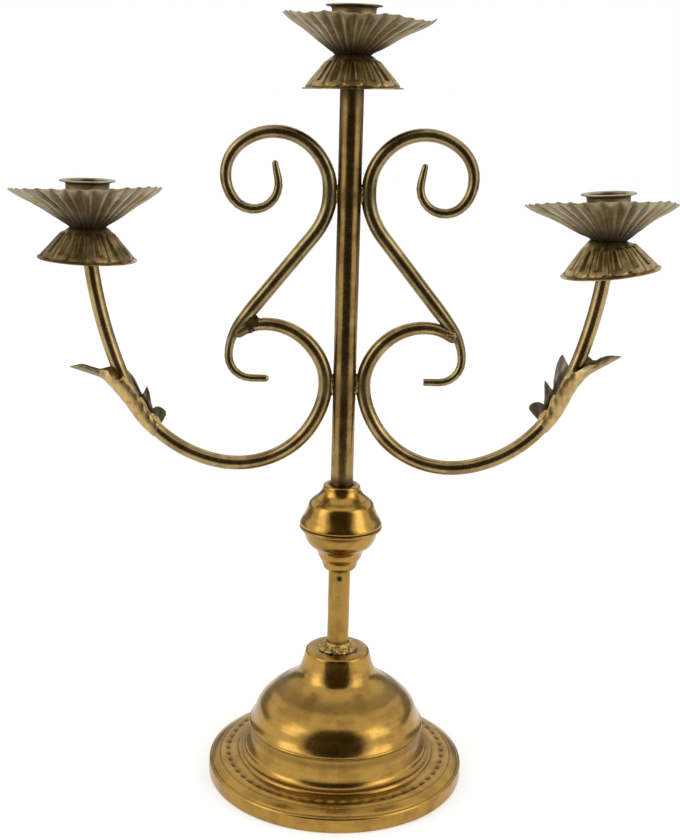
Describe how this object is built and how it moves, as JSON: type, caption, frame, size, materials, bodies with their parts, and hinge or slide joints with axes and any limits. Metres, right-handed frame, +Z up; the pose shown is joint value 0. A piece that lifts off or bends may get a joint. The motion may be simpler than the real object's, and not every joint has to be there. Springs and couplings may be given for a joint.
{
  "type": "three-light candle holder",
  "caption": "Free-standing candle holder with a round bell foot, a stem with a knop, scrolled side arms with leaves, and fluted drip pans under flanged candle sockets.",
  "frame": {"origin": "middle of the foot, on the surface that it stands on", "axes": "+Z up along the stem; the arms lie in the XZ plane, with +X to the right seen from the front; -Y is the front"},
  "size_m": [0.365, 0.1486, 0.4343],
  "materials": {
    "golden_brass": "spun brass, lacquer worn to a mottled golden patina",
    "olive_brass": "drawn brass bar and tube, olive-brown patina with brighter edges",
    "grey_brass": "stamped brass sheet, grey-brown patina",
    "braze": "rough lumps of braze and solder, dark",
    "steel": "plain steel fasteners, not seen from outside"
  },
  "bodies": {
    "root": {"base_bell": "golden_brass", "base_washer": "steel", "base_nut": "steel", "tie_rod": "steel", "stem_solder_ring": "braze", "lower_stem_tube": "golden_brass", "upper_stem_tube": "olive_brass", "upper_stem_foot_plug": "golden_brass", "stem_top_plug": "golden_brass", "knop_upper_half": "golden_brass", "knop_lower_half": "golden_brass", "right_arm": "olive_brass", "right_scroll": "olive_brass", "right_leaf": "grey_brass", "right_arm_braze": "braze", "right_scroll_braze": "braze", "right_joint_braze": "braze", "left_arm": "olive_brass", "left_scroll": "olive_brass", "left_leaf": "grey_brass", "left_arm_braze": "braze", "left_scroll_braze": "braze", "left_joint_braze": "braze", "top_skirt": "grey_brass", "top_drip_pan": "grey_brass", "top_socket": "grey_brass", "top_socket_screw": "steel", "right_skirt": "grey_brass", "right_drip_pan": "grey_brass", "right_socket": "grey_brass", "right_socket_screw": "steel", "left_skirt": "grey_brass", "left_drip_pan": "grey_brass", "left_socket": "grey_brass", "left_socket_screw": "steel"}
  },
  "joints": []
}
